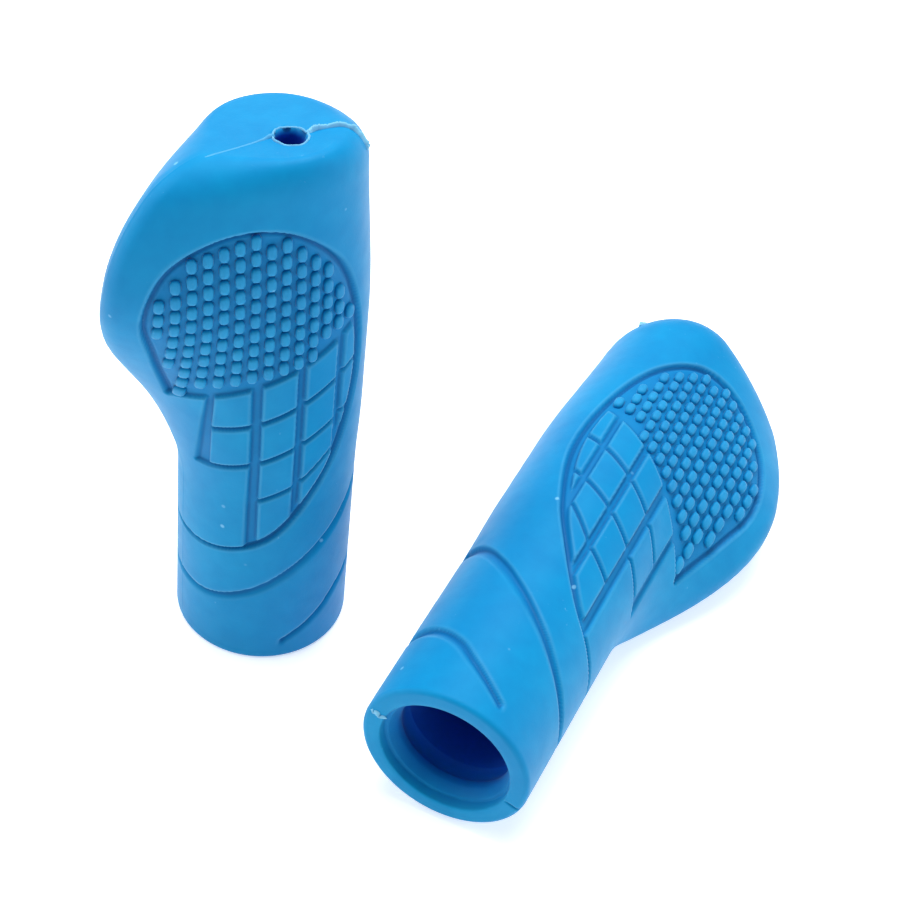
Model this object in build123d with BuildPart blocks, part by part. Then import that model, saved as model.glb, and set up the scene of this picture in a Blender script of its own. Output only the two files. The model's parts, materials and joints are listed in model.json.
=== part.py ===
"""A pair of soft rubber handlebar grips, one for each hand, in millimetres.

The left grip stands on its open end, and the right grip, its mirror image, lies on its back with its
bore along Y and its mouth toward -Y. Each grip is a single moulding: a sleeve with a stepped blind bore,
a wing for the palm, and a closed cap with one small vent.
"""

import os
from math import cos, exp, hypot, pi, sin

from build123d import *

# Driving dimensions of one grip in its own frame: its axis is Z, its mouth is at z = 0, its wing
# points to -X and its palm faces -Y.
length = 116.0  # from the mouth to the cap, on the axis
sleeve_radius = 16.5
sleeve_end = 40.0  # height up to which the outside is a plain round sleeve
mouth_rounding = 1.0

# The wing: its reach from the axis, the radius of its edge, and the edge's offset toward the back.
wing_reach = 32.5
wing_peak = 87.0  # height at which the wing reaches furthest
cap_reach = 19.6  # reach that is left at the cap
wing_shoulder = 2.0  # how squarely the wing turns in toward the cap
edge_radius = 4.0
edge_growth = 2.3  # the edge is this much blunter at the foot of the wing
edge_fade = 8.5
edge_foot = 57.0
edge_top = 93.0
edge_back = 6.0  # the edge lies this far to the back at its foot
edge_palm = 3.5  # and this far to the palm side from its top on

# The sleeve under the wing, and the corner between the palm and the thumb side.
belly = 0.4
cap_draft = 1.6
lean = 0.5
draft_start = 77.0
corner_place = (0.0, -10.4)
corner_radius = 4.7
corner_start = 70.0
corner_end = 100.0

# The cap.
cap_rise = (0.02, -0.26)  # rise of the cap for each millimetre along X and along Y
rim_height = 6.8
rim_width = 3.2
rim_swing = 2.4  # the rim is wider by this much toward the wing and the thumb, and narrower between
rim_palm = 2.6  # and it is this much wider again toward the palm

# The bore, from the mouth inwards. It is pressed onto a bar of 22.2 mm.
lip_radius = 12.8
lip_depth = 2.0
throat_radius = 12.0
throat_depth = 4.0
bore_radius = 10.9
relief_radius = 11.4
relief_start = 5.4
relief_end = 8.8
relief_slope = 0.5
cap_thickness = 5.0
vent_radius = 2.6
vent_place = (0.2, -3.4)
vent_cut = 20.0  # long enough to pass right through the cap

# Where the two grips lie on the table.
left_place = (-31.7, -27.1)
left_turn = 49.0
right_place = (22.3, -59.5)
right_height = 17.6
right_roll = 20.0  # how far the wing of the lying grip points below the horizontal

# How finely the outside is drawn.
section_heights = (47.0, 54.0, 61.0, 68.0, 76.0, 84.0, 92.0, 100.0, length - rim_height)
rim_turns = (32.0, 58.0, 80.0)  # sections round the cap's rim, in degrees from its foot
outline_points = 36
crowding = 0.6  # how much closer the points stand at the wing's edge than on the sleeve
easing = 12  # degrees to each side over which the band round the rods is eased
facing = 0.05  # lines that are turned further than this cosine from a direction are left out


def ease(start, end, height):
    """A smooth step from 0 at one height to 1 at another."""
    share = min(max((height - start) / (end - start), 0), 1)
    return share * share * (3 - 2 * share)


def rods_at(height):
    """Three upright rods, each as x, y and radius: the sleeve, the wing's edge and the palm corner."""
    if height < wing_peak:
        swell = (1 - cos(pi * (height - sleeve_end) / (wing_peak - sleeve_end))) / 2
        reach = sleeve_radius + (wing_reach - sleeve_radius) * swell
    else:
        fall = ((height - wing_peak) / (length - wing_peak)) ** wing_shoulder
        reach = wing_reach - (wing_reach - cap_reach) * fall
    turned = ease(edge_foot, edge_top, height)
    offset = (edge_back * (1 - turned) - edge_palm * turned) * ease(sleeve_end, edge_foot, height)
    blunt = min(edge_radius + edge_growth * exp((edge_foot - height) / edge_fade), sleeve_radius)
    sleeve = sleeve_radius + belly * ease(sleeve_end, edge_foot, height)
    sleeve -= cap_draft * ease(draft_start, length, height)
    hidden = (sleeve - corner_radius) / hypot(*corner_place)
    stand = hidden + (1 - hidden) * ease(corner_start, corner_end, height)
    return [
        (-lean * ease(draft_start, length, height), 0.0, sleeve),
        (blunt - reach, offset, blunt),
        (corner_place[0] * stand, corner_place[1] * stand, corner_radius),
    ]


def outline(height, rim_share=0.0):
    """Points on a band stretched round the three rods of this height, with its bends eased.

    The band's distance in each normal direction is averaged over the easing angle. In each direction
    from the axis the band is then the nearest of the straight lines at those distances. On the cap's
    rim it is drawn in by a share of the rim's width.
    """
    rods = rods_at(height)
    normals = [degree * pi / 180 for degree in range(360)]
    clear = [max(x * cos(n) + y * sin(n) + r for x, y, r in rods) for n in normals]
    window = range(-easing, easing + 1)
    eased = [sum(clear[(degree + k) % 360] for k in window) / len(window) for degree in range(360)]
    points = []
    for i in range(outline_points):
        turn = 2 * pi * i / outline_points
        angle = turn + crowding * sin(turn)
        lines = [(s, cos(angle - n)) for n, s in zip(normals, eased)]
        reached = min(s / turned for s, turned in lines if turned > facing)
        width = rim_width + rim_swing * cos(2 * angle) + rim_palm * max(-sin(angle), 0) ** 2
        reached -= rim_share * width
        points.append((reached * cos(angle), reached * sin(angle)))
    return points


def section_plane(height):
    """The plane of a section: level on the sleeve, and parallel to the cap at the top."""
    share = max(height - sleeve_end, 0) / (length - sleeve_end)
    rise_x = cap_rise[0] * share
    rise_y = cap_rise[1] * share
    return Plane(origin=(0, 0, height), x_dir=(1, 0, rise_x), z_dir=(-rise_x, -rise_y, 1))


def grip_moulding():
    """One grip in its own frame, as a single solid."""
    sections = [(height, 0.0) for height in section_heights]
    for degree in rim_turns:
        turn = degree * pi / 180
        sections.append((length - rim_height * (1 - sin(turn)), 1 - cos(turn)))
    with BuildPart() as moulding:
        with BuildSketch(Plane.XY.offset(sleeve_end)):
            Circle(sleeve_radius)
        for height, rim_share in sections:
            with BuildSketch(section_plane(height)):
                with BuildLine():
                    Spline(*outline(height, rim_share), periodic=True)
                make_face()
        loft()
        with BuildSketch(Plane.XY):
            Circle(sleeve_radius)
        extrude(amount=sleeve_end)
        mouth_edge = moulding.faces().sort_by(Axis.Z)[0].edges()
        fillet(mouth_edge, radius=mouth_rounding)
        with BuildSketch(Plane.XZ):
            with BuildLine():
                Polyline(
                    (0, -1),
                    (lip_radius, -1),
                    (lip_radius, lip_depth),
                    (throat_radius, lip_depth),
                    (bore_radius, throat_depth),
                    (bore_radius, relief_start),
                    (relief_radius, relief_start + relief_slope),
                    (relief_radius, relief_end - relief_slope),
                    (bore_radius, relief_end),
                    (bore_radius, length - cap_thickness),
                    (0, length - cap_thickness),
                    close=True,
                )
            make_face()
        revolve(axis=Axis.Z, mode=Mode.SUBTRACT)
        with Locations((*vent_place, length)):
            Cylinder(vent_radius, vent_cut, mode=Mode.SUBTRACT)
    return moulding.part


os.makedirs("parts", exist_ok=True)

# The left grip stands on its mouth.
moulding = grip_moulding()
with BuildPart() as left_grip:
    with Locations(Location((*left_place, 0), (0, 0, left_turn))):
        add(moulding)
left_grip.part.label = "left_grip"
export_step(left_grip.part, "parts/left_grip.step")

# The right grip is the mirror image. It lies on its back, with its wing turned down toward the table.
roll = right_roll * pi / 180
bed = Plane(origin=(*right_place, right_height), x_dir=(cos(roll), 0, -sin(roll)), z_dir=(0, 1, 0))
mirrored = mirror(moulding, about=Plane.YZ)
with BuildPart() as right_grip:
    with Locations(bed):
        add(mirrored)
right_grip.part.label = "right_grip"
export_step(right_grip.part, "parts/right_grip.step")
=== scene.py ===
"""A pair of soft rubber handlebar grips, one standing on its open end and one lying on its back.

Shapes are worked out in millimetres in a grip's own frame and put into meshes in metres. In that frame
the bore runs along Z from the mouth at z = 0, the wing points to -X and the palm faces -Y. The right
grip is the mirror image of the left one.
"""

import json
import math

import bpy
import numpy as np
from mathutils import Matrix, Vector


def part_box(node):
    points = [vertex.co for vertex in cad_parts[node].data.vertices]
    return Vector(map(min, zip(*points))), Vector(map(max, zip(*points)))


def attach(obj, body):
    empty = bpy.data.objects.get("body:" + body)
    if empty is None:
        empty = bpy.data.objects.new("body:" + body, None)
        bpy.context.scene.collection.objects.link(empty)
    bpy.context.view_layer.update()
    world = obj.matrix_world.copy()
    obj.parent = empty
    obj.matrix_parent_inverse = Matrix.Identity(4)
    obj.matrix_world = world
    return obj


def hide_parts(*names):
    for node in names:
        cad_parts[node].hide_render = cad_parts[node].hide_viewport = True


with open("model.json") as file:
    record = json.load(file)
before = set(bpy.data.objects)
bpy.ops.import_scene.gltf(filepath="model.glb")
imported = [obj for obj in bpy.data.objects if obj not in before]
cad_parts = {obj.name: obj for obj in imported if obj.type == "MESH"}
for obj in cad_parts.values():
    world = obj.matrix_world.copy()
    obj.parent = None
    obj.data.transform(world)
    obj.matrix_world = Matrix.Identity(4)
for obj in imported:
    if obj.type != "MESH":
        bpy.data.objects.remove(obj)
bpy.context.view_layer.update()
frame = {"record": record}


# The moulding. Each grip is one piece of soft thermoplastic rubber, injected round a steel core that
# leaves the bore. The outside is a round sleeve that swells into a wing, and a sloping cap closes it.

MM = 0.001
length = 116.0
sleeve_radius = 16.5
sleeve_end = 40.0
mouth_rounding = 1.0
wing_reach = 32.5
wing_peak = 87.0
cap_reach = 19.6
wing_shoulder = 2.0
edge_radius = 4.0
edge_growth = 2.3
edge_fade = 8.5
edge_foot = 57.0
edge_top = 93.0
edge_back = 6.0
edge_palm = 3.5
belly = 0.4
cap_draft = 1.6
lean = 0.5
draft_start = 77.0
corner_back = 10.4
corner_radius = 4.7
corner_start = 70.0
corner_end = 100.0
cap_rise_x = 0.02
cap_rise_y = -0.26
rim_height = 6.8
rim_width = 3.2
rim_swing = 2.4
rim_palm = 2.6
easing = 12  # degrees to each side
facing_least = 0.05  # lines turned further away than this cosine don't bound the outline

NORMALS = np.radians(np.arange(360.0))


def ease(start, end, value):
    """A smooth step: 3 s^2 - 2 s^3, where s runs from 0 at start to 1 at end."""
    share = np.clip((value - start) / (end - start), 0, 1)
    return share * share * (3 - 2 * share)


def rods(height):
    """Three upright rods at each height, as arrays of x, y and radius: sleeve, wing edge, palm corner.

    The wing's reach follows a half cosine up to its peak and a parabola down to the cap.
    """
    rise = (1 - np.cos(np.pi * np.clip(height - sleeve_end, 0, None) / (wing_peak - sleeve_end))) / 2
    fall = (np.clip(height - wing_peak, 0, None) / (length - wing_peak)) ** wing_shoulder
    below = sleeve_radius + (wing_reach - sleeve_radius) * rise
    reach = np.where(height < wing_peak, below, wing_reach - (wing_reach - cap_reach) * fall)
    turned = ease(edge_foot, edge_top, height)
    offset = (edge_back * (1 - turned) - edge_palm * turned) * ease(sleeve_end, edge_foot, height)
    blunt = edge_radius + edge_growth * np.exp((edge_foot - height) / edge_fade)
    blunt = np.minimum(blunt, sleeve_radius)
    draft = ease(draft_start, length, height)
    sleeve = sleeve_radius + belly * ease(sleeve_end, edge_foot, height) - cap_draft * draft
    hidden = (sleeve - corner_radius) / corner_back
    stand = hidden + (1 - hidden) * ease(corner_start, corner_end, height)
    nought = np.zeros_like(height)
    x = np.stack([-lean * draft, blunt - reach, nought], axis=-1)
    y = np.stack([nought, offset, -corner_back * stand], axis=-1)
    radius = np.stack([sleeve, blunt, nought + corner_radius], axis=-1)
    return x, y, radius


def outline_radius(height, turn):
    """Distance from the axis to the outside, with a row for each height and a column for each turn.

    It is a band stretched round the rods: the greatest of x cos n + y sin n + radius for each normal
    n, averaged over the easing angle, and then the least of that over cos(turn - n) over all n.
    """
    x, y, radius = rods(height)
    clear = x[..., None] * np.cos(NORMALS) + y[..., None] * np.sin(NORMALS) + radius[..., None]
    clear = clear.max(axis=1)
    eased = sum(np.roll(clear, k, axis=1) for k in range(-easing, easing + 1)) / (2 * easing + 1)
    facing = np.cos(turn[:, None] - NORMALS)
    facing = np.where(facing > facing_least, facing, np.nan)
    return np.stack([np.nanmin(row / facing, axis=1) for row in eased])


def rim_inset(turn):
    """How far the cap's rim is drawn in: most toward the wing and the thumb, and next toward the palm."""
    palm = np.clip(-np.sin(turn), 0, None) ** 2
    return rim_width + rim_swing * np.cos(2 * turn) + rim_palm * palm


def cap_slope(height, x, y):
    """How far a point stands above its height, because the sections tilt evenly up to the cap."""
    share = np.clip(height - sleeve_end, 0, None) / (length - sleeve_end)
    return share * (cap_rise_x * x + cap_rise_y * y)


def spaced(density, start, end):
    """Values from start to end that stand closer where the density, in points per millimetre, is high."""
    fine = np.linspace(start, end, 4000)
    total = np.concatenate([[0], np.cumsum((density(fine[1:]) + density(fine[:-1])) / 2)])
    total *= fine[1] - fine[0]
    count = int(round(total[-1]))
    return np.interp(np.linspace(0, total[-1], count + 1), total, fine)


# The relief of the palm. It is cut into the mould's palm half in the direction that the mould opens,
# so it is laid out on the plane of x and height: a sunk field of pips, and tiles parted by channels.

floor_depth = 0.8
line_depth = 0.3  # the thin line round the field is cut this much deeper than its floor
wall = 0.42  # width over which a wall comes up
row_slope = 0.53
row_start = -9.0  # the slanting edges of the tiles are given as heights at this x
pip_line = 70.0
tile_lines = (61.7, 52.4, 42.8)
row_groove = 0.75
fan = 0.42  # the lowest line is this much steeper on the thumb side
fan_start = -0.8
tile_margin = (1.0, 1.5)  # gap between the tiles and the outline, low down and high up
line_middle = 0.25  # how far inside the outline the thin line is deepest, and how far it spreads
line_spread = 0.3
line_skirt = -0.2  # the line is cut up to this far outside the field
line_half = (0.08, 0.54)  # where the outline's floor ends and where its wall is fully up
channels = ((-15.6, 2.0), (-8.3, 1.7), (-0.8, 1.5), (6.8, 1.5))  # middle and width
first_leg = -16.0  # the body's edge along the first channel
outline_points = (
    (-20.6, 64.3),
    (-24.6, 76.5),
    (-26.8, 86.5),
    (-23.2, 96.8),
    (-13.7, 103.0),
    (-3.4, 102.4),
    (5.8, 94.6),
    (10.6, 82.0),
    (11.5, 68.0),
    (7.8, 53.4),
    (2.0, 43.0),
    (-4.5, 34.4),
    (-10.5, 30.2),
    (-16.3, 27.4),
    (-19.5, 27.2),
)


def smooth_line(points, steps=10):
    """A Catmull-Rom curve through the points, with straight leads at both ends."""
    points = np.array(points, float)
    padded = np.vstack([2 * points[0] - points[1], points, 2 * points[-1] - points[-2]])
    s = np.linspace(0, 1, steps, endpoint=False)[:, None]
    parts = []
    for a, b, c, d in zip(padded, padded[1:], padded[2:], padded[3:]):
        parts.append(b + s * (c - a) / 2 + s**2 * (a - 2.5 * b + 2 * c - d / 2))
        parts[-1] += s**3 * (1.5 * (b - c) + (d - a) / 2)
    return np.vstack([*parts, points[-1:]])


def distance_to(line, x, h):
    """The shortest distance from each point to the line's straight runs."""
    best = np.full(x.shape, np.inf)
    for (ax, ah), (bx, bh) in zip(line[:-1], line[1:]):
        run = (bx - ax) ** 2 + (bh - ah) ** 2
        share = np.clip(((x - ax) * (bx - ax) + (h - ah) * (bh - ah)) / run, 0, 1)
        best = np.minimum(best, (x - ax - share * (bx - ax)) ** 2 + (h - ah - share * (bh - ah)) ** 2)
    return np.sqrt(best)


def inside(line, x, h):
    """True where a level ray crosses the closed line an odd number of times."""
    odd = np.zeros(x.shape, bool)
    for (ax, ah), (bx, bh) in zip(line, np.roll(line, -1, axis=0)):
        if ah != bh:
            odd ^= ((ah > h) != (bh > h)) & (x < ax + (h - ah) * (bx - ax) / (bh - ah))
    return odd


def row_height(base, x):
    """The height of a slanting row line at x."""
    return base + row_slope * (x - row_start)


outline_line = smooth_line(outline_points)
second_wall = channels[1][0] - channels[1][1] / 2
meets = int(np.argmin(np.hypot(outline_line[:, 0] - second_wall, outline_line[:, 1] - 31)))
field_edge = np.vstack(
    [
        outline_line[: meets + 1],
        (second_wall, row_height(tile_lines[1], second_wall) - row_groove / 2),
        (first_leg, row_height(tile_lines[1], first_leg) - row_groove / 2),
        (first_leg + 0.3, row_height(pip_line, first_leg + 0.3)),
    ]
)


def tile_clearance(x, h):
    """How far a point is inside its tile, and less than 0 between the tiles.

    It is the least of its distances to the two channels beside it, the two row grooves above and
    below it, and the channel that runs along the outline.
    """
    across = np.cos(np.arctan(row_slope))
    edges = [[middle - width / 2, middle + width / 2] for middle, width in channels]
    tile_columns = [(a[1], b[0]) for a, b in zip(edges, edges[1:])] + [(edges[-1][1], np.inf)]
    best = np.full(x.shape, -np.inf)
    bases = (pip_line, *tile_lines, -length)
    for number, (left, right) in enumerate(tile_columns):
        sides = np.minimum(x - left, right - x)
        for upper, lower in zip(bases, bases[1:]):
            if number == 0 and lower < tile_lines[1]:
                continue
            steep_up = fan * np.clip(x - fan_start, 0, None) * (upper == tile_lines[2])
            steep_low = fan * np.clip(x - fan_start, 0, None) * (lower == tile_lines[2])
            gap = 0 if upper == pip_line else row_groove / 2
            above = (row_height(upper, x) + steep_up - h) * across - gap
            below = (h - row_height(lower, x) - steep_low) * across - row_groove / 2
            best = np.maximum(best, np.minimum(np.minimum(above, below), sides))
    margin = tile_margin[0] + (tile_margin[1] - tile_margin[0]) * ease(48, 58, h)
    return np.minimum(best, distance_to(outline_line, x, h) - margin)


# Grooves of the sleeve. Three lines run round it for the edge of the hand: one goes on from the
# panel's outline, one crosses the whole sleeve and one ends near the mouth. Each has a steep upper
# wall and a floor that comes up gently toward the mouth.

crossing_groove = smooth_line(  # turn from the palm in degrees, and height
    ((-92, 14.1), (-60, 14.8), (-29.5, 18.8), (-3, 24.2), (22, 30.0), (43, 34.9), (65, 38.9), (92, 41.0))
)
crossing_widths = (1.9, 3.1)
short_groove = smooth_line(((-8, 4.3), (4, 6.4), (21.7, 9.9), (38, 13.4), (60, 15.9), (92, 17.2)))
short_widths = (2.0, 2.8)
short_end = (-9, -7)
groove_depth = 0.85
run_on_height = 27.3  # the outline's groove goes on round the back at this height
run_on_end = (-11, -8)


def sleeve_groove(line, turn, h, widths):
    """Depth of a groove that follows a line of turn in degrees and height.

    Across the line the floor goes down on a smooth ramp and comes back over a steep wall. Its width
    goes from the first to the second value along the line.
    """
    middle = np.interp(turn, line[:, 0], line[:, 1])
    slope = np.gradient(line[:, 1], line[:, 0])
    slope = np.interp(turn, line[:, 0], slope) / math.radians(sleeve_radius)
    width = widths[0] + (widths[1] - widths[0]) * ease(line[0, 0], 70, turn)
    across = (h - middle) / np.sqrt(1 + slope**2) / width
    return ease(-0.5, 0.2, across) * (1 - ease(0.3, 0.5, across)) * groove_depth


def relief(x, y, h):
    """How deep the outside is cut at each point of it."""
    depth = np.zeros(x.shape)
    panel = (y < 0) & (h > 24) & (h < 108)
    px, ph = x[panel], h[panel]
    to_edge = distance_to(np.vstack([field_edge, field_edge[:1]]), px, ph)
    to_edge = np.where(inside(field_edge, px, ph), to_edge, -to_edge)
    raised = ease(0, wall, tile_clearance(px, ph) + wall / 2)
    cut = floor_depth * ease(-wall / 2, wall / 2, to_edge) * (1 - raised)
    to_line = distance_to(outline_line, px, ph)
    cut += line_depth * np.exp(-(((to_line - line_middle) / line_spread) ** 2)) * (to_edge > line_skirt)
    thin = (floor_depth + line_depth) * (1 - ease(*line_half, to_line))
    depth[panel] = np.maximum(cut, thin)
    turn = np.degrees(np.arctan2(x, np.abs(y)))
    low = (h < 46) & (h > mouth_rounding)
    crossing = sleeve_groove(crossing_groove, turn[low], h[low], crossing_widths)
    short = sleeve_groove(short_groove, turn[low], h[low], short_widths) * ease(*short_end, turn[low])
    depth[low] = np.maximum(depth[low], np.maximum(crossing, short))
    back = (y >= 0) & (h > 24) & (h < 31)
    run_on = 1 - ease(0.1, 0.62, np.abs(h[back] - run_on_height))
    run_on *= 1 - ease(*run_on_end, x[back])
    depth[back] = np.maximum(depth[back], (floor_depth + line_depth) * run_on)
    return depth


# The skin. The whole moulding is one closed surface on a grid: up the outside, over the rim and the
# cap, down the vent, along the bore with its steps, and over the mouth back to the start.

columns = 238
tile_rows = 3.75  # rows and columns for each millimetre of the parts of the outside
groove_rows = 3.0
plain_rows = 1.4
field_rows = 1.7
plain_columns = 0.85
palm_columns = 2.95
sleeve_columns = 1.6
back_columns = 0.9
parting_columns = 3.2
rim_rows = 10
cap_rows = 14
fine_turns = np.linspace(0.5 * np.pi, 2.5 * np.pi, 1441)
parting_height = 0.07
parting_width = 0.16
vent_radius = 2.6
vent_place = np.array([0.2, -3.4])
vent_tear = np.array([2.7, 3.6])  # the hole's torn lip, across and toward the palm
tear_shift = -0.6
nick_depth = 0.5  # a nick where the parting crosses the mouth
nick_width = 0.22
shade_start = 1.0  # the painted shade in the bore deepens from this height to the next
shade_end = 10.0
cap_thickness = 5.0
bore_steps = (  # radius and height, from the blind end of the bore to its lip
    (10.9, 111.0),
    (10.9, 60.0),
    (10.9, 20.0),
    (10.9, 9.0),
    (10.95, 8.75),
    (11.4, 8.3),
    (11.4, 5.9),
    (10.95, 5.45),
    (10.9, 5.2),
    (10.95, 4.05),
    (11.1, 3.7),
    (11.9, 2.2),
    (12.0, 2.05),
    (12.1, 2.0),
    (12.7, 2.0),
    (12.8, 1.85),
    (12.8, 0.3),
    (12.95, 0.08),
    (13.15, 0.0),
)


def row_density(h):
    """Rows for each millimetre of height: most on the tiles, and fewer on plain stretches."""
    past_tiles = ease(72, 75, h)
    tiles = ease(25, 27, h) * (1 - past_tiles) * tile_rows
    grooves = (1 - ease(25, 27, h)) * groove_rows
    field = past_tiles * (plain_rows + (1 - ease(105, 107, h)) * field_rows)
    return tiles + grooves + field


def column_density(x, y, h):
    """Columns for each millimetre round the outside: most on the palm and at the parting."""
    palm = 1 - ease(-3.0, 1.0, y)
    across = ease(-31, -28, x) * (1 - ease(13.0, 16.0, x))
    parting = np.exp(-((parting_gap(x, y, h) / 0.7) ** 2))
    sleeve = 1 - ease(20, 29, h)[:, None]
    behind = (1 - palm) * (ease(20, 29, h) - ease(41, 46, h))[:, None]
    density = plain_columns + palm_columns * palm * across * (1 - sleeve) + sleeve_columns * sleeve
    return density + back_columns * behind + parting_columns * parting


def parting_gap(x, y, h):
    """Distance across from the mould's parting, which runs up the thumb side and the wing's edge."""
    wing_edge = rods(h)[1][:, 1][:, None]
    return y - np.where(x > 0, 0.0, wing_edge)


def circles(radii, levels, turns):
    """Rows of points round the axis at each radius and level."""
    return np.stack([radii * np.cos(turns), radii * np.sin(turns), levels + 0 * turns], -1)


def skin_grid():
    """Rows of points of one grip's skin, the depth of the relief at each, and the painted shade of the
    inside: 1 in the vent, and deepening down the bore.

    Every outline is divided so that its columns share the density evenly.
    """
    outer = spaced(row_density, mouth_rounding, length - rim_height)
    rim_turns = np.linspace(0, np.pi / 2, rim_rows + 1)[1:]
    heights = np.concatenate([outer, length - rim_height * (1 - np.sin(rim_turns))])
    shares = np.concatenate([np.zeros(len(outer)), 1 - np.cos(rim_turns)])
    radius = outline_radius(heights, fine_turns)
    radius -= shares[:, None] * rim_inset(fine_turns)
    x, y = radius * np.cos(fine_turns), radius * np.sin(fine_turns)
    step = np.hypot(np.diff(x, axis=1), np.diff(y, axis=1))
    density = column_density(x, y, heights)
    total = np.cumsum((density[:, 1:] + density[:, :-1]) / 2 * step, axis=1)
    total = np.concatenate([np.zeros((len(heights), 1)), total], axis=1)
    share = np.arange(columns) / columns
    turns = np.stack([np.interp(share * row[-1], row, fine_turns) for row in total])
    radius = np.stack([np.interp(t, fine_turns, r) for t, r in zip(turns, radius)])
    x, y = radius * np.cos(turns), radius * np.sin(turns)
    h = np.broadcast_to(heights[:, None], x.shape)
    outside = np.stack([x, y, h + cap_slope(h, x, y)], axis=-1)
    depth = relief(x, y, h)
    depth -= parting_height * np.exp(-((parting_gap(x, y, heights) / parting_width) ** 2))
    depth *= 1 - shares[:, None]
    depth *= ease(0, 1.5, h - mouth_rounding)

    # Cap: the rim's last outline shrinks evenly to the vent, and the vent goes down to the bore.
    rim = outside[-1]
    vent_turns = turns[-1]
    vent_way = np.stack([np.cos(vent_turns), np.sin(vent_turns)], axis=-1)
    vent = vent_place + vent_radius * vent_way
    torn = 1 + 0.05 * np.sin(5 * vent_turns + 1) + 0.04 * np.sin(11 * vent_turns)
    lip = vent_place + (0, tear_shift) + vent_way * vent_tear * torn[:, None]
    shrink = (1 - np.linspace(0, 1, cap_rows + 1)[1:])[:, None, None]
    flat = rim[None, :, :2] * shrink + lip * (1 - shrink)
    top = length + cap_slope(length, flat[..., 0], flat[..., 1])
    cap = np.concatenate([flat, top[..., None]], axis=-1)
    well = length - np.array([1.2, 2, 4, cap_thickness])
    down = np.stack([np.column_stack([vent, np.full(columns, z)]) for z in well])

    # Bore: circles whose turns go back evenly to those of the mouth.
    mouth_turns = turns[0]
    bore_radii, bore_levels = np.array(bore_steps).T[:, :, None]
    bore = circles(bore_radii, bore_levels, mouth_turns)
    widen = np.array([0.25, 0.5, 0.75, 0.93])[:, None, None]
    blind = down[-1] * (1 - widen) + bore[0] * widen
    bore = np.concatenate([blind, bore])

    # Mouth: a flat ring, and the rounding that meets the sleeve's first row.
    round_turns = np.radians([0, 10, 30, 50, 70])
    rounded = sleeve_radius - mouth_rounding * (1 - np.sin(round_turns))
    mouth_radii = np.concatenate([[14.2, 15.2], rounded])
    mouth_levels = np.concatenate([[0, 0], mouth_rounding * (1 - np.cos(round_turns))])
    mouth = circles(mouth_radii[:, None], mouth_levels[:, None], mouth_turns)

    # The nick in the mouth, and the painted shade inside: full in the vent, and growing with how far inside
    # the bore each point is.
    grid = np.concatenate([outside, cap, down, bore, mouth])
    nick = nick_depth * np.exp(-(((mouth_turns - np.pi) * sleeve_radius / nick_width) ** 2))
    worn = np.zeros((len(grid) - len(outside), columns))
    worn[-len(mouth):] = nick
    bore_shade_ramp = np.clip((bore[..., 2] - shade_start) / (shade_end - shade_start), 0, 1) ** 0.7
    bore_shade = np.concatenate([0 * depth, 0 * cap[..., 0], 1 + 0 * down[..., 0], bore_shade_ramp, 0 * mouth[..., 0]])
    return grid, np.concatenate([depth, worn]), bore_shade


def outward(grid):
    """Unit normals of a closed grid, from the cross product of its two central differences."""
    round_it = np.roll(grid, -1, axis=1) - np.roll(grid, 1, axis=1)
    along = np.roll(grid, -1, axis=0) - np.roll(grid, 1, axis=0)
    normal = np.cross(round_it, along)
    return normal / np.linalg.norm(normal, axis=-1, keepdims=True)


def crest(depth):
    """How much higher a point of the relief stands than the points round it, from -1 to 1."""
    mean = sum(np.roll(depth, (i, j), (0, 1)) for i in (-2, 0, 2) for j in (-2, 0, 2)) / 9
    return np.clip((mean - depth) / 0.25, -1, 1)


base_grid, depth_grid, bore_shade_grid = skin_grid()
skin_points = base_grid - outward(base_grid) * depth_grid[..., None]
# The material darkens the hollow points of the relief by this as painted shade, and pales its crests as
# rubbed dust and painted highlight.
crest_grid = crest(depth_grid)
# The material darkens the sunk relief by this: painted shade in its floors and channels.
sunk_grid = np.clip(depth_grid / (floor_depth + line_depth), 0, 1)

bores = {mount["name"]: np.array(mount["pos_m"]) / MM for mount in frame["record"]["mounts"]}
left_turn = math.radians(49)
right_roll = math.radians(20)  # how far the lying grip's wing points below the horizontal
left_place = np.array([*bores["left_bore"][:2], 0.0])
right_place = np.array([bores["right_bore"][0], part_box("right_grip")[0].y / MM, bores["right_bore"][2]])


def place(points, side):
    """Points of a grip's own frame, put where that side's grip is, in metres."""
    points = np.asarray(points, float)
    if side == "left":
        c, s = math.cos(left_turn), math.sin(left_turn)
        axes = np.array([[c, s, 0], [-s, c, 0], [0, 0, 1]])
        return (points @ axes + left_place) * MM
    c, s = math.cos(right_roll), math.sin(right_roll)
    axes = np.array([[-c, 0, s], np.cross((0, 1, 0), (c, 0, -s)), [0, 1, 0]])
    return (points @ axes + right_place) * MM


def make_piece(name, points, faces, side, attributes=None):
    """A smooth mesh object. The right grip is mirrored, so its faces are turned round."""
    if side == "right":
        faces = [face[::-1] for face in faces]
    mesh = bpy.data.meshes.new(name)
    mesh.from_pydata(place(points, side), [], faces)
    for key, values in (attributes or {}).items():
        layer = mesh.attributes.new(key, "FLOAT", "POINT")
        layer.data.foreach_set("value", np.asarray(values, np.float32).ravel())
    mesh.polygons.foreach_set("use_smooth", np.ones(len(mesh.polygons), bool))
    mesh.update()
    piece = bpy.data.objects.new(name, mesh)
    bpy.context.scene.collection.objects.link(piece)
    return piece


def grid_faces(rows, across, closed_rows):
    """Four-sided faces of a grid that closes round its columns, and round its rows too if asked."""
    i = np.arange(rows if closed_rows else rows - 1)[:, None]
    j = np.arange(across)[None]
    up, on = (i + 1) % rows, (j + 1) % across
    corners = [i * across + j, i * across + on, up * across + on, up * across + j]
    return np.stack([np.broadcast_to(c, (len(i), across)) for c in corners], -1).reshape(-1, 4).tolist()


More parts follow.
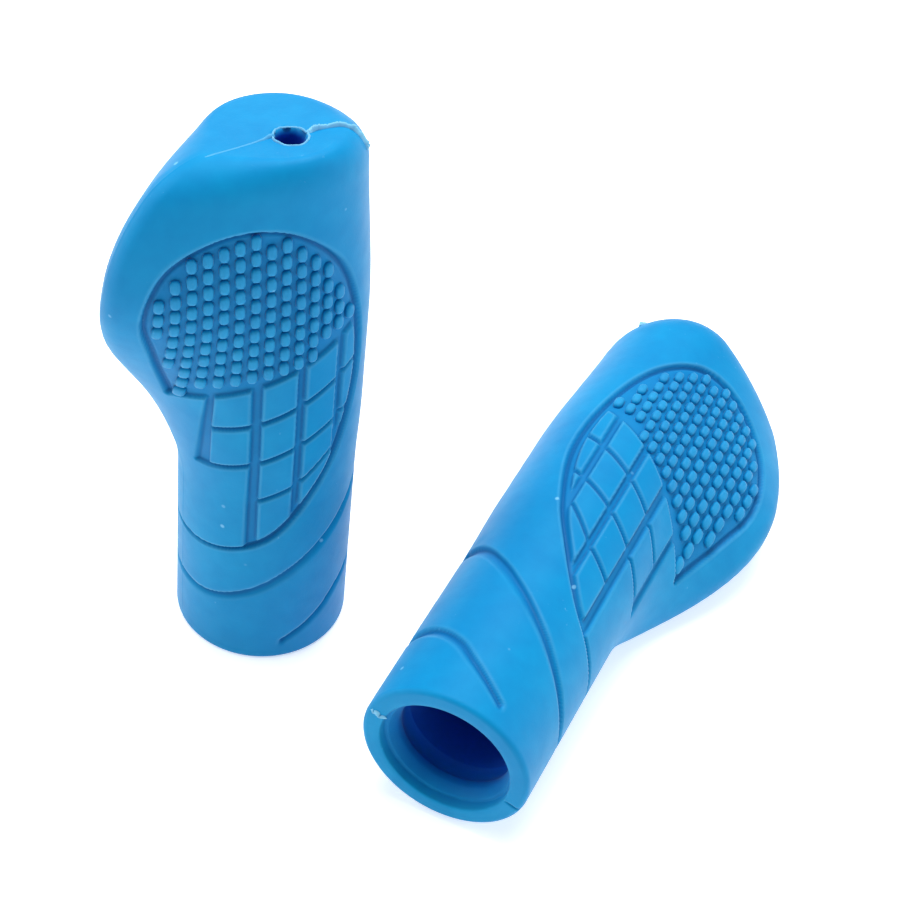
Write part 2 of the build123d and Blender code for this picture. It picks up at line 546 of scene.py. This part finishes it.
skin_faces = grid_faces(len(skin_points), columns, True)
skins = {}
for side in ("left", "right"):
    skins[side] = make_piece(
        f"{side}_skin",
        skin_points.reshape(-1, 3),
        skin_faces,
        side,
        {"crest": crest_grid, "sunk": sunk_grid, "bore_shade": bore_shade_grid},
    )
    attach(skins[side], f"{side}_grip")
    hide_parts(f"{side}_grip")


# The pips. Small rounded blocks of the same rubber stand on the sunk field for grip. They are moulded
# in columns along the grip, in rows that slant like the tiles.

pip_pitch = (2.55, 3.2)
pip_step = 0.95  # how much higher each next column starts
pip_start = (-11.8, 84.9)
pip_half = (0.86, 1.38)
pip_squareness = 3.5  # power of the rounded square that a pip is seen from above
pip_gap = 1.5  # least distance from a pip's middle to the field's edges
pip_rings = ((1.08, -0.2), (1.0, 0.35), (0.88, 0.74), (0.5, 0.92))  # size and height above the floor
pip_sides = 12


def palm_point(x, h):
    """The point of the outside at x and height h on the palm, and its outward normal.

    Both are read from a sheet of outlines that are drawn every half millimetre of height. Between its
    points they are shared out evenly in both directions.
    """
    levels = np.arange(60.0, 108.0, 0.5)
    turns = np.linspace(np.pi, 2 * np.pi, 361)
    radius = outline_radius(levels, turns)
    places = np.linspace(-28.0, 13.0, 165)
    sheet = []
    for level, row in zip(levels, radius):
        across = row * np.cos(turns)
        first = int(np.argmin(across))
        r = np.interp(places, across[first:], row[first:])
        y = -np.sqrt(np.clip(r**2 - places**2, 0, None))
        sheet.append(np.stack([places, y, level + cap_slope(level, places, y)], -1))
    sheet = np.array(sheet)
    normal = np.cross(np.gradient(sheet, axis=1), np.gradient(sheet, axis=0))
    normal /= np.linalg.norm(normal, axis=-1, keepdims=True)
    both = np.concatenate([sheet, normal], axis=-1)
    i = np.clip((h - levels[0]) / 0.5, 0, len(levels) - 1.001)
    j = np.clip((x - places[0]) / (places[1] - places[0]), 0, len(places) - 1.001)
    i0, j0 = i.astype(int), j.astype(int)
    si, sj = (i - i0)[..., None], (j - j0)[..., None]
    low = both[i0, j0] * (1 - sj) + both[i0, j0 + 1] * sj
    high = both[i0 + 1, j0] * (1 - sj) + both[i0 + 1, j0 + 1] * sj
    found = low * (1 - si) + high * si
    return found[..., :3], found[..., 3:]


def pip_centres():
    """Places of the pips: the points of a slanting lattice that keep clear of the field's edges."""
    i, j = np.meshgrid(np.arange(-8, 11), np.arange(-14, 14), indexing="ij")
    x = pip_start[0] + pip_pitch[0] * i
    h = pip_start[1] + pip_step * i + pip_pitch[1] * j
    keep = inside(field_edge, x, h) & (h > row_height(pip_line, x) + pip_gap)
    keep &= distance_to(outline_line, x, h) > pip_gap
    return x[keep], h[keep]


pip_x, pip_h = pip_centres()
around = np.linspace(0, 2 * np.pi, pip_sides, endpoint=False)
bulge = np.abs(np.cos(around)) ** pip_squareness + np.abs(np.sin(around)) ** pip_squareness
bulge = bulge ** (-1 / pip_squareness)
ring_size = np.array([size for size, level in pip_rings])[:, None]
pip_u = ring_size * pip_half[0] * bulge * np.cos(around)
pip_v = ring_size * pip_half[1] * bulge * np.sin(around)
pip_w = np.array([level for size, level in pip_rings])[:, None] + 0 * pip_u
feet, normals = palm_point(pip_x[:, None, None] + pip_u, pip_h[:, None, None] + pip_v)
pip_points = feet + normals * (pip_w - floor_depth)[..., None]
one_pip = grid_faces(len(pip_rings), pip_sides, False)
one_pip += [list(range(pip_sides))[::-1], [pip_u.size - pip_sides + k for k in range(pip_sides)]]
pip_faces = [[v + number * pip_u.size for v in face] for number in range(len(pip_x)) for face in one_pip]
# Crest values for the material: each pip's foot is darkened as painted shade and its top paled as painted
# highlight.
pip_shade_and_highlight = np.broadcast_to(np.array([-1.0, -0.5, 0.6, 0.6])[:, None], pip_points.shape[:-1])
pips = {}
for side in ("left", "right"):
    pips[side] = make_piece(f"{side}_pips", pip_points.reshape(-1, 3), pip_faces, side, {"crest": pip_shade_and_highlight})
    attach(pips[side], f"{side}_grip")


# Moulding flash. Rubber that crept between the mould's halves is left as ragged skin: a fin over the
# cap from the vent to the thumb side, a collar round the vent and a scrap on the mouth.

ogive_half = ((-0.5, -0.12), (-0.42, 0.25), (-0.2, 0.8))
ogive = np.array([*ogive_half, (0, 1.0), *((-across, rise) for across, rise in ogive_half[::-1])])


def ragged(count, seed, low, high):
    """A seeded run of values between low and high that wanders smoothly, with short torn stretches."""
    draw = np.random.default_rng(seed)
    knots = np.arange(0, count + 8, 6)
    coarse = np.interp(np.arange(count), knots, draw.random(len(knots)))
    fine = draw.random(count)
    return low + (high - low) * np.clip(0.75 * coarse + 0.35 * fine, 0, 1)


def ridge(path, up, heights, width):
    """A closed ridge along a path: an ogive profile of the given heights and width at each point.

    The profile leans to neither side, stands on the path along up, and reaches a little below it.
    """
    path, up = np.asarray(path, float), np.asarray(up, float)
    along = np.gradient(path, axis=0)
    along /= np.linalg.norm(along, axis=1, keepdims=True)
    side_way = np.cross(along, up)
    across = ogive[:, 0, None] * np.asarray(width)[:, None, None] * side_way[:, None]
    rise = ogive[:, 1, None] * np.asarray(heights)[:, None, None] * up[:, None]
    points = path[:, None] + across + rise
    faces = grid_faces(len(path), len(ogive), False)
    last = (len(path) - 1) * len(ogive)
    faces += [list(range(len(ogive)))[::-1], [last + k for k in range(len(ogive))]]
    return points.reshape(-1, 3), faces


def cap_path(x, y):
    """Points on the cap at x and y, which follow the quarter ellipse of the rim where they pass its edge."""
    turn = np.arctan2(y, x)
    reach = outline_radius(np.array([length]), turn)[0]
    share_width = rim_inset(turn)
    spread = np.hypot(x, y)
    past = np.clip(spread - (reach - share_width), 0, share_width * 0.9) / share_width
    held = np.minimum(1, (reach - 0.1 * share_width) / spread)
    x, y = x * held, y * held
    h = length - rim_height * (1 - np.sqrt(1 - past**2))
    return np.stack([x, y, h + cap_slope(h, x, y)], -1), past


fin_count = 80
fin_points = ((3.1, -4.1), (5.0, -3.6), (8.6, -4.0), (10.6, -5.2), (12.4, -6.8), (13.4, -8.0))
fin_line = smooth_line(fin_points, 16)[:fin_count]
fin_path, fin_past = cap_path(fin_line[:, 0], fin_line[:, 1])
fin_up = np.stack([fin_past * 0.9, -0.5 * fin_past, np.ones(fin_count)], -1)
fin_up /= np.linalg.norm(fin_up, axis=1, keepdims=True)
fin_ends = ease(0, 4, np.arange(fin_count)) * ease(0, 6, np.arange(fin_count)[::-1])
fin_height = ragged(fin_count, 3, 0.35, 1.3) * fin_ends + 0.02
fin = ridge(fin_path, fin_up, fin_height, 0.7 + 0.5 * ragged(fin_count, 5, 0, 1))

trail_count = 64
trail_points = ((-2.2, -2.5), (-4.9, -3.3), (-9.0, -4.0), (-13.0, -4.5), (-15.0, -4.6))
trail_line = smooth_line(trail_points, 16)[:trail_count]
trail_path, trail_past = cap_path(trail_line[:, 0], trail_line[:, 1])
trail_up = np.tile((0.0, 0.0, 1.0), (trail_count, 1))
trail_swell = np.exp(-((trail_line[:, 0] - vent_place[0] + vent_radius) ** 2) / 5)
trail_height = 0.07 + 0.6 * trail_swell * ragged(trail_count, 8, 0.4, 1)
trail_height = trail_height * ease(0, 10, np.arange(trail_count)[::-1]) + 0.01
trail = ridge(trail_path, trail_up, trail_height, 0.4 + 0.6 * trail_swell)

collar_count = 97
collar_turn = np.linspace(0, 2 * np.pi, collar_count)
collar_r = 1.05 + ragged(collar_count, 11, -0.05, 0.06)
collar_x = vent_place[0] + vent_tear[0] * collar_r * np.cos(collar_turn)
collar_y = vent_place[1] + tear_shift + vent_tear[1] * collar_r * np.sin(collar_turn)
collar_path = np.stack([collar_x, collar_y, length + cap_slope(length, collar_x, collar_y)], -1)[:-1]
collar_up = np.tile((0.0, 0.0, 1.0), (len(collar_path), 1))
collar_height = ragged(collar_count, 12, 0.1, 0.4)[:-1]
collar = ridge(collar_path, collar_up, collar_height, np.full(len(collar_path), 0.42))

scrap_count = 26
scrap_r = np.linspace(12.9, 15.7, scrap_count)
scrap_y = 0.4 + 0.2 * np.sin(scrap_r * 5.1)
scrap_path = np.stack([scrap_r, scrap_y, 0 * scrap_r], -1)
scrap_up = np.tile((0.0, 0.0, -1.0), (scrap_count, 1))
scrap_ends = ease(0, 4, np.arange(scrap_count)) * ease(0, 4, np.arange(scrap_count)[::-1])
scrap_height = ragged(scrap_count, 21, 0.1, 0.55) * scrap_ends + 0.01
scrap = ridge(scrap_path, scrap_up, scrap_height, 0.9 + 0.5 * np.sin(scrap_r * 4.0))

cap_flash = [(fin, 1.0), (trail, 0.35), (collar, 0.7)]  # each with how pale its torn rubber is
flash_of = {"left": cap_flash, "right": [*cap_flash, (scrap, 1.0)]}
flash = {}
for side, ridges in flash_of.items():
    points, faces, torn, start = [], [], [], 0
    for (more_points, more_faces), paleness in ridges:
        faces += [[v + start for v in face] for face in more_faces]
        points.append(more_points)
        torn.append(np.full(len(more_points), paleness))
        start += len(more_points)
    flash[side] = make_piece(f"{side}_flash", np.vstack(points), faces, side, {"torn": np.concatenate(torn)})
    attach(flash[side], f"{side}_grip")


# The rubber's finish. Coloured through, it is a clear mid blue with a silky surface that scatters
# light at a low angle, with a fine moulded grain and pale dust and scuffs. Painted into the colour are
# pale cloudy patches of painted reflection haze, painted shade in the creases, grooves, sunk field,
# pip feet and bore, and painted highlights on raised edges and pip tops.


class Wire:
    """One output in a shader tree. Python's operators on it add Math nodes."""

    def __init__(self, tree, socket=None):
        self.tree = tree
        self.socket = socket

    def node(self, kind, settings=None, values=None, output=0):
        """Adds a node: its settings first, then the values or wires of its inputs, by name or number."""
        made = self.tree.nodes.new(kind)
        for key, value in (settings or {}).items():
            setattr(made, key, value)
        for key, value in (values or {}).items():
            if isinstance(value, Wire):
                self.tree.links.new(value.socket, made.inputs[key])
            else:
                made.inputs[key].default_value = value
        return Wire(self.tree, made.outputs[output] if made.outputs else None)

    def maths(self, operation, first, second):
        """A Math node on wires or numbers."""
        return self.node("ShaderNodeMath", {"operation": operation}, {0: first, 1: second})

    def __add__(self, other):
        return self.maths("ADD", self, other)

    __radd__ = __add__

    def __mul__(self, other):
        return self.maths("MULTIPLY", self, other)

    __rmul__ = __mul__

    def between(self, low, high):
        """0 below low, 1 above high, and straight between. Low may be the greater."""
        values = {"Value": self, "From Min": low, "From Max": high, "To Min": 0.0, "To Max": 1.0}
        return self.node("ShaderNodeMapRange", {"clamp": True}, values)


# a darker blue: the rubber's random darker mottle, and painted shade in the sunk relief
deeper_blue_and_shade = (0.0, 0.15, 0.41, 1)
mid = (0.0, 0.226, 0.505, 1)
# a paler blue for cloudy patches: painted reflection haze
reflection_haze_blue = (0.0, 0.262, 0.545, 1)
# pale dust for specks, scuffs and the torn flash, also used as painted highlight on raised edges
dust_and_highlight = (0.25, 0.60, 0.82, 1)
# painted shade for creases and the deepest thin line of the relief
crease_shade_blue = (0.0, 0.1, 0.3, 1)
# painted shade for the inside of the vent and the bore
shade = (0.0, 0.035, 0.42, 1)


def rubber():
    """The blue rubber: colour, roughness and grain from noises on the grip's own coordinates."""
    material = bpy.data.materials.new("blue_rubber")
    material.use_nodes = True
    tree = material.node_tree
    tree.nodes.clear()
    start = Wire(tree)
    where = start.node("ShaderNodeTexCoord", output="Object")
    crested, sunk, torn, bore_shade = (
        start.node("ShaderNodeAttribute", {"attribute_name": name}, output="Fac")
        for name in ("crest", "sunk", "torn", "bore_shade")
    )

    def noise(scale, detail=2.0, roughness=0.5):
        """A noise on the object's coordinates."""
        values = {"Vector": where, "Scale": scale, "Detail": detail, "Roughness": roughness}
        return start.node("ShaderNodeTexNoise", {}, values)

    clouds = noise(45.0, 3.0).between(0.35, 0.68)
    mottle = noise(260.0, 3.0).between(0.3, 0.7)
    grain = noise(2600.0, 2.0, 0.6)
    cell_reach, cell_pick = (
        start.node("ShaderNodeTexVoronoi", {}, {"Vector": where, "Scale": 190.0}, output)
        for output in ("Distance", "Color")
    )
    specks = cell_reach.between(0.10, 0.05) * cell_pick.between(0.72, 0.76)
    scuffs = noise(700.0, 4.0, 0.7).between(0.66, 0.74) * noise(60.0, 2.0).between(0.55, 0.62)

    # Each layer's strength and the colour that it brings in, over the rubber's own mid blue.
    layers = (
        # pale cloudy patches at random places: painted reflection haze of the white surroundings
        (clouds, reflection_haze_blue),
        (mottle * 0.25, deeper_blue_and_shade),
        # the sunk field and its channels darkened: painted shade in the recesses
        (sunk.between(0.0, 0.75) * 0.6, deeper_blue_and_shade),
        # the deepest thin line round the field darkened further: a painted shadow line
        (sunk.between(0.76, 1.0) * 0.7, crease_shade_blue),
        # hollow points of the relief darkened: painted shade in creases
        (crested.between(0.0, -1.0) * 0.6, crease_shade_blue),
        # raised edges of the relief paled: partly rubbed dust, partly painted highlight
        (crested.between(0.15, 1.0) * 0.1, dust_and_highlight),
        (specks * 0.55, dust_and_highlight),
        (scuffs * 0.3, dust_and_highlight),
        (torn * 0.8, dust_and_highlight),
        # the vent and the bore darkened to navy: painted shade inside the hollow
        (bore_shade * 0.9, shade),
    )
    colour = mid
    for strength, tint in layers:
        colour = start.node("ShaderNodeMix", {"data_type": "RGBA"}, {0: strength, 6: colour, 7: tint}, 2)

    roughness = 0.46 + clouds * 0.06 + mottle * 0.05 + scuffs * 0.1
    rise = {"Strength": 0.25, "Distance": 0.08 * MM, "Height": grain + mottle * 0.8}
    bump = start.node("ShaderNodeBump", {}, rise, "Normal")
    finish = {
        "Base Color": colour,
        "Roughness": roughness,
        "Normal": bump,
        "IOR": 1.45,
        "Specular IOR Level": 0.13,
        "Sheen Weight": 0.1,
        "Sheen Roughness": 0.4,
    }
    shader = start.node("ShaderNodeBsdfPrincipled", {}, finish)
    start.node("ShaderNodeOutputMaterial", {}, {"Surface": shader})
    return material


blue_rubber = rubber()
for group in (skins, pips, flash):
    for piece in group.values():
        piece.data.materials.append(blue_rubber)


# The stage: a white floor, soft light from all round and above, and the camera.

floor_half = 20
floor_corners = [(x * floor_half, y * floor_half, 0) for x, y in ((-1, -1), (1, -1), (1, 1), (-1, 1))]
floor_mesh = bpy.data.meshes.new("floor")
floor_mesh.from_pydata(floor_corners, [], [(0, 1, 2, 3)])
floor = bpy.data.objects.new("floor", floor_mesh)
bpy.context.scene.collection.objects.link(floor)
paper = bpy.data.materials.new("white_paper")
paper.use_nodes = True
paper_shader = paper.node_tree.nodes["Principled BSDF"]
paper_shader.inputs["Base Color"].default_value = (0.9, 0.9, 0.9, 1)
paper_shader.inputs["Roughness"].default_value = 0.9
paper_shader.inputs["Specular IOR Level"].default_value = 0.0
paper_shader.inputs["Emission Color"].default_value = (1, 1, 1, 1)
paper_shader.inputs["Emission Strength"].default_value = 0.5
floor_mesh.materials.append(paper)

world = bpy.data.worlds.new("studio")
bpy.context.scene.world = world
world.use_nodes = True
world.node_tree.nodes["Background"].inputs["Color"].default_value = (1, 1, 1, 1)
world.node_tree.nodes["Background"].inputs["Strength"].default_value = 0.39
lamp_aim = Vector((0, 0, 0.05))


def soft_light(name, position, size, power):
    """A square area light at a position in metres, turned to the grips."""
    light = bpy.data.lights.new(name, "AREA")
    light.size = size
    light.energy = power
    lamp = bpy.data.objects.new(name, light)
    lamp.location = position
    lamp.rotation_euler = (lamp_aim - Vector(position)).to_track_quat("-Z", "Y").to_euler()
    bpy.context.scene.collection.objects.link(lamp)


soft_light("top_softbox", (-0.15, 0.25, 1.0), 0.8, 13.0)
soft_light("left_softbox", (-0.9, -0.3, 0.6), 0.7, 4.2)
soft_light("right_softbox", (0.9, 0.2, 0.5), 0.7, 3.0)

camera_place = Vector((0.11073, -0.31274, 0.36057))
camera_way = Vector((-0.24765, 0.66603, -0.70361)).normalized()
camera_roll = math.radians(6.73)
level = camera_way.cross(Vector((0, 0, 1))).normalized()
above = level.cross(camera_way)
right = level * math.cos(camera_roll) + above * math.sin(camera_roll)
top = right.cross(camera_way)
view_axes = Matrix((right, top, -camera_way)).transposed().to_4x4()
camera_data = bpy.data.cameras.new("camera")
camera_data.lens = 96.58
camera_data.sensor_width = 36.0
camera = bpy.data.objects.new("camera", camera_data)
camera.matrix_world = Matrix.Translation(camera_place) @ view_axes
bpy.context.scene.collection.objects.link(camera)
bpy.context.scene.camera = camera
bpy.context.scene.view_settings.view_transform = "Standard"
